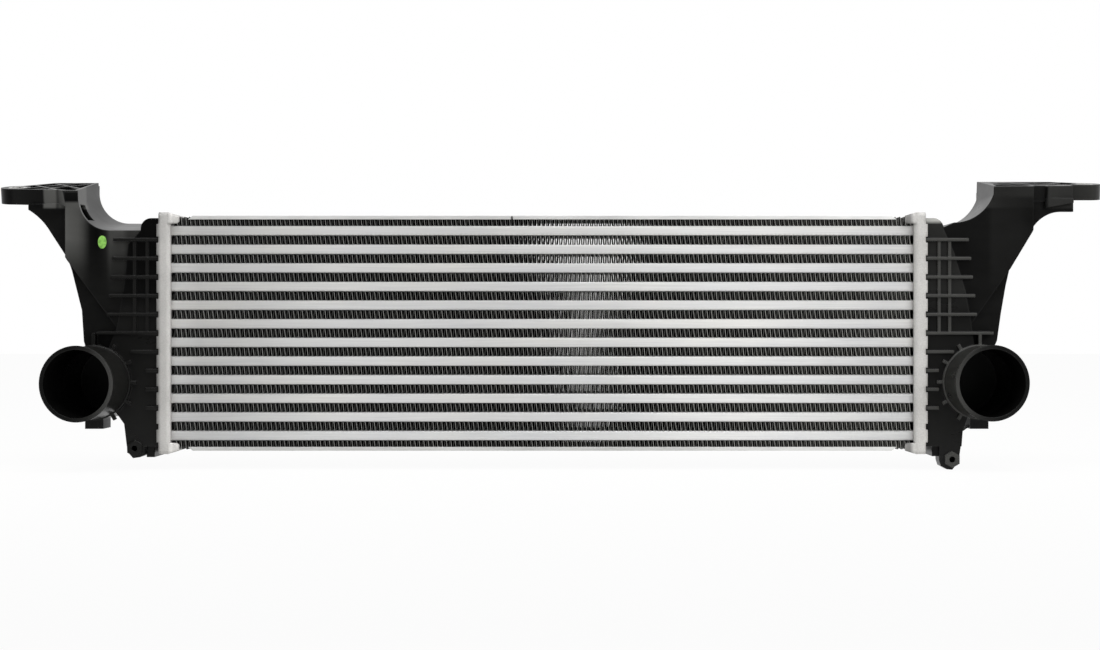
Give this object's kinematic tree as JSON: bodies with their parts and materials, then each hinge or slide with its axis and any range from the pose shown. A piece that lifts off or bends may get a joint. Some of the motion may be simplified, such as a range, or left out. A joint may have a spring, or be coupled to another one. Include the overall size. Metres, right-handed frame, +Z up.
{
  "type": "intercooler",
  "caption": "Air-to-air intercooler: a flat finned aluminium core between two black moulded end tanks, each with a round hose neck, a mounting arm with an eye, and a low lug.",
  "frame": {"origin": "centre of the finned core block, where the duct that brings the cooling air seals round it", "axes": "+X along the tubes towards the right-hand tank, seen from the side that the hose necks point to; -Y towards that side, so the cooling air passes along Y; +Z up"},
  "size_m": [0.9583, 0.1154, 0.2519],
  "materials": {
    "tubes": "satin",
    "fins": "matte",
    "turbulators": "matte",
    "side_plates": "satin",
    "headers": "satin",
    "gaskets": "matte",
    "tanks": "satin",
    "sleeves": "satin"
  },
  "bodies": {
    "root": {"tube_01": "tubes", "tube_02": "tubes", "tube_03": "tubes", "tube_04": "tubes", "tube_05": "tubes", "tube_06": "tubes", "tube_07": "tubes", "tube_08": "tubes", "tube_09": "tubes", "tube_10": "tubes", "tube_11": "tubes", "tube_12": "tubes", "turbulator_01": "turbulators", "turbulator_02": "turbulators", "turbulator_03": "turbulators", "turbulator_04": "turbulators", "turbulator_05": "turbulators", "turbulator_06": "turbulators", "turbulator_07": "turbulators", "turbulator_08": "turbulators", "turbulator_09": "turbulators", "turbulator_10": "turbulators", "turbulator_11": "turbulators", "turbulator_12": "turbulators", "fin_row_00": "fins", "fin_row_01": "fins", "fin_row_02": "fins", "fin_row_03": "fins", "fin_row_04": "fins", "fin_row_05": "fins", "fin_row_06": "fins", "fin_row_07": "fins", "fin_row_08": "fins", "fin_row_09": "fins", "fin_row_10": "fins", "fin_row_11": "fins", "fin_row_12": "fins", "side_plate_top": "side_plates", "side_plate_bottom": "side_plates", "header_right": "headers", "header_left": "headers", "gasket_right": "gaskets", "gasket_left": "gaskets", "tank_right": "tanks", "tank_left": "tanks", "sleeve_right": "sleeves", "sleeve_left": "sleeves"}
  },
  "joints": []
}
